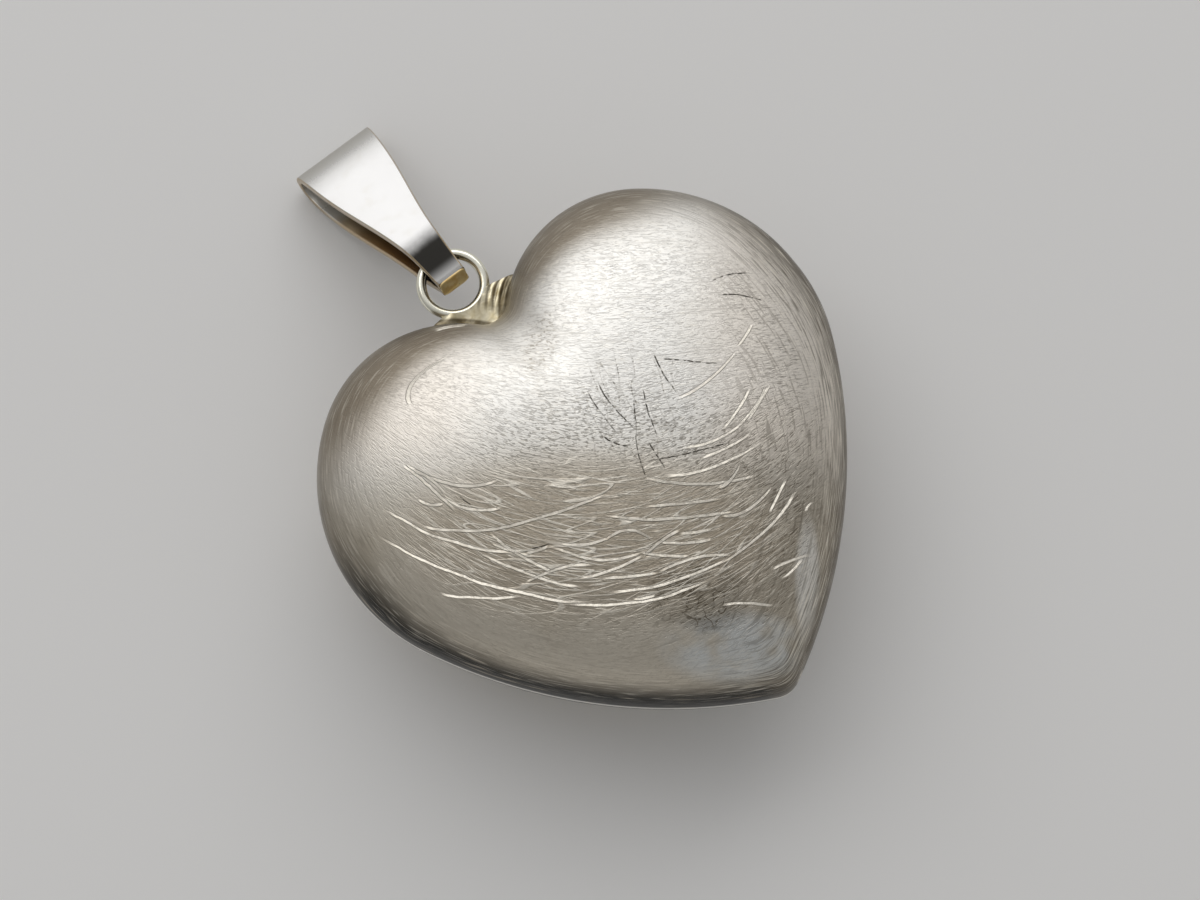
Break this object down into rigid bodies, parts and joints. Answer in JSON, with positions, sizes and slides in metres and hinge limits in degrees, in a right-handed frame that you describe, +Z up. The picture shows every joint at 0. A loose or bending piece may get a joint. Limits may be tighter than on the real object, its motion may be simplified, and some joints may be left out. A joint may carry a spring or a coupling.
{
  "type": "milagro charm",
  "caption": "Hollow puffed-heart charm of domed sheet halves soldered at the rim, with a wire ring in the cleft and a tapered folded bail that swings on the ring to take a chain.",
  "frame": {"origin": "on the surface the charm lies on, under the middle of its footprint", "axes": "+Z up, the heart's front; +Y from the heart's tip to its cleft and bail; +X to the right seen from the front"},
  "size_m": [0.032, 0.0432, 0.014],
  "materials": {
    "satin_silver": "wire-brushed satin silver, scratched and a little tarnished",
    "polished_silver": "polished silver",
    "silver_solder": "yellowish silver solder, dull"
  },
  "bodies": {
    "heart": {"front_shell": "satin_silver", "back_shell": "satin_silver", "seam_solder": "polished_silver", "pendant_ring": "polished_silver", "ring_solder": "silver_solder"},
    "bail": {"bail_strap": "polished_silver", "bail_solder": "silver_solder"}
  },
  "joints": [
    {"name": "bail_swing", "type": "hinge", "parent": "heart", "child": "bail", "pos_m": [-0.0005, 0.01071, 0.007], "axis": [1, 0, 0], "range_deg": [-90, 150]}
  ]
}
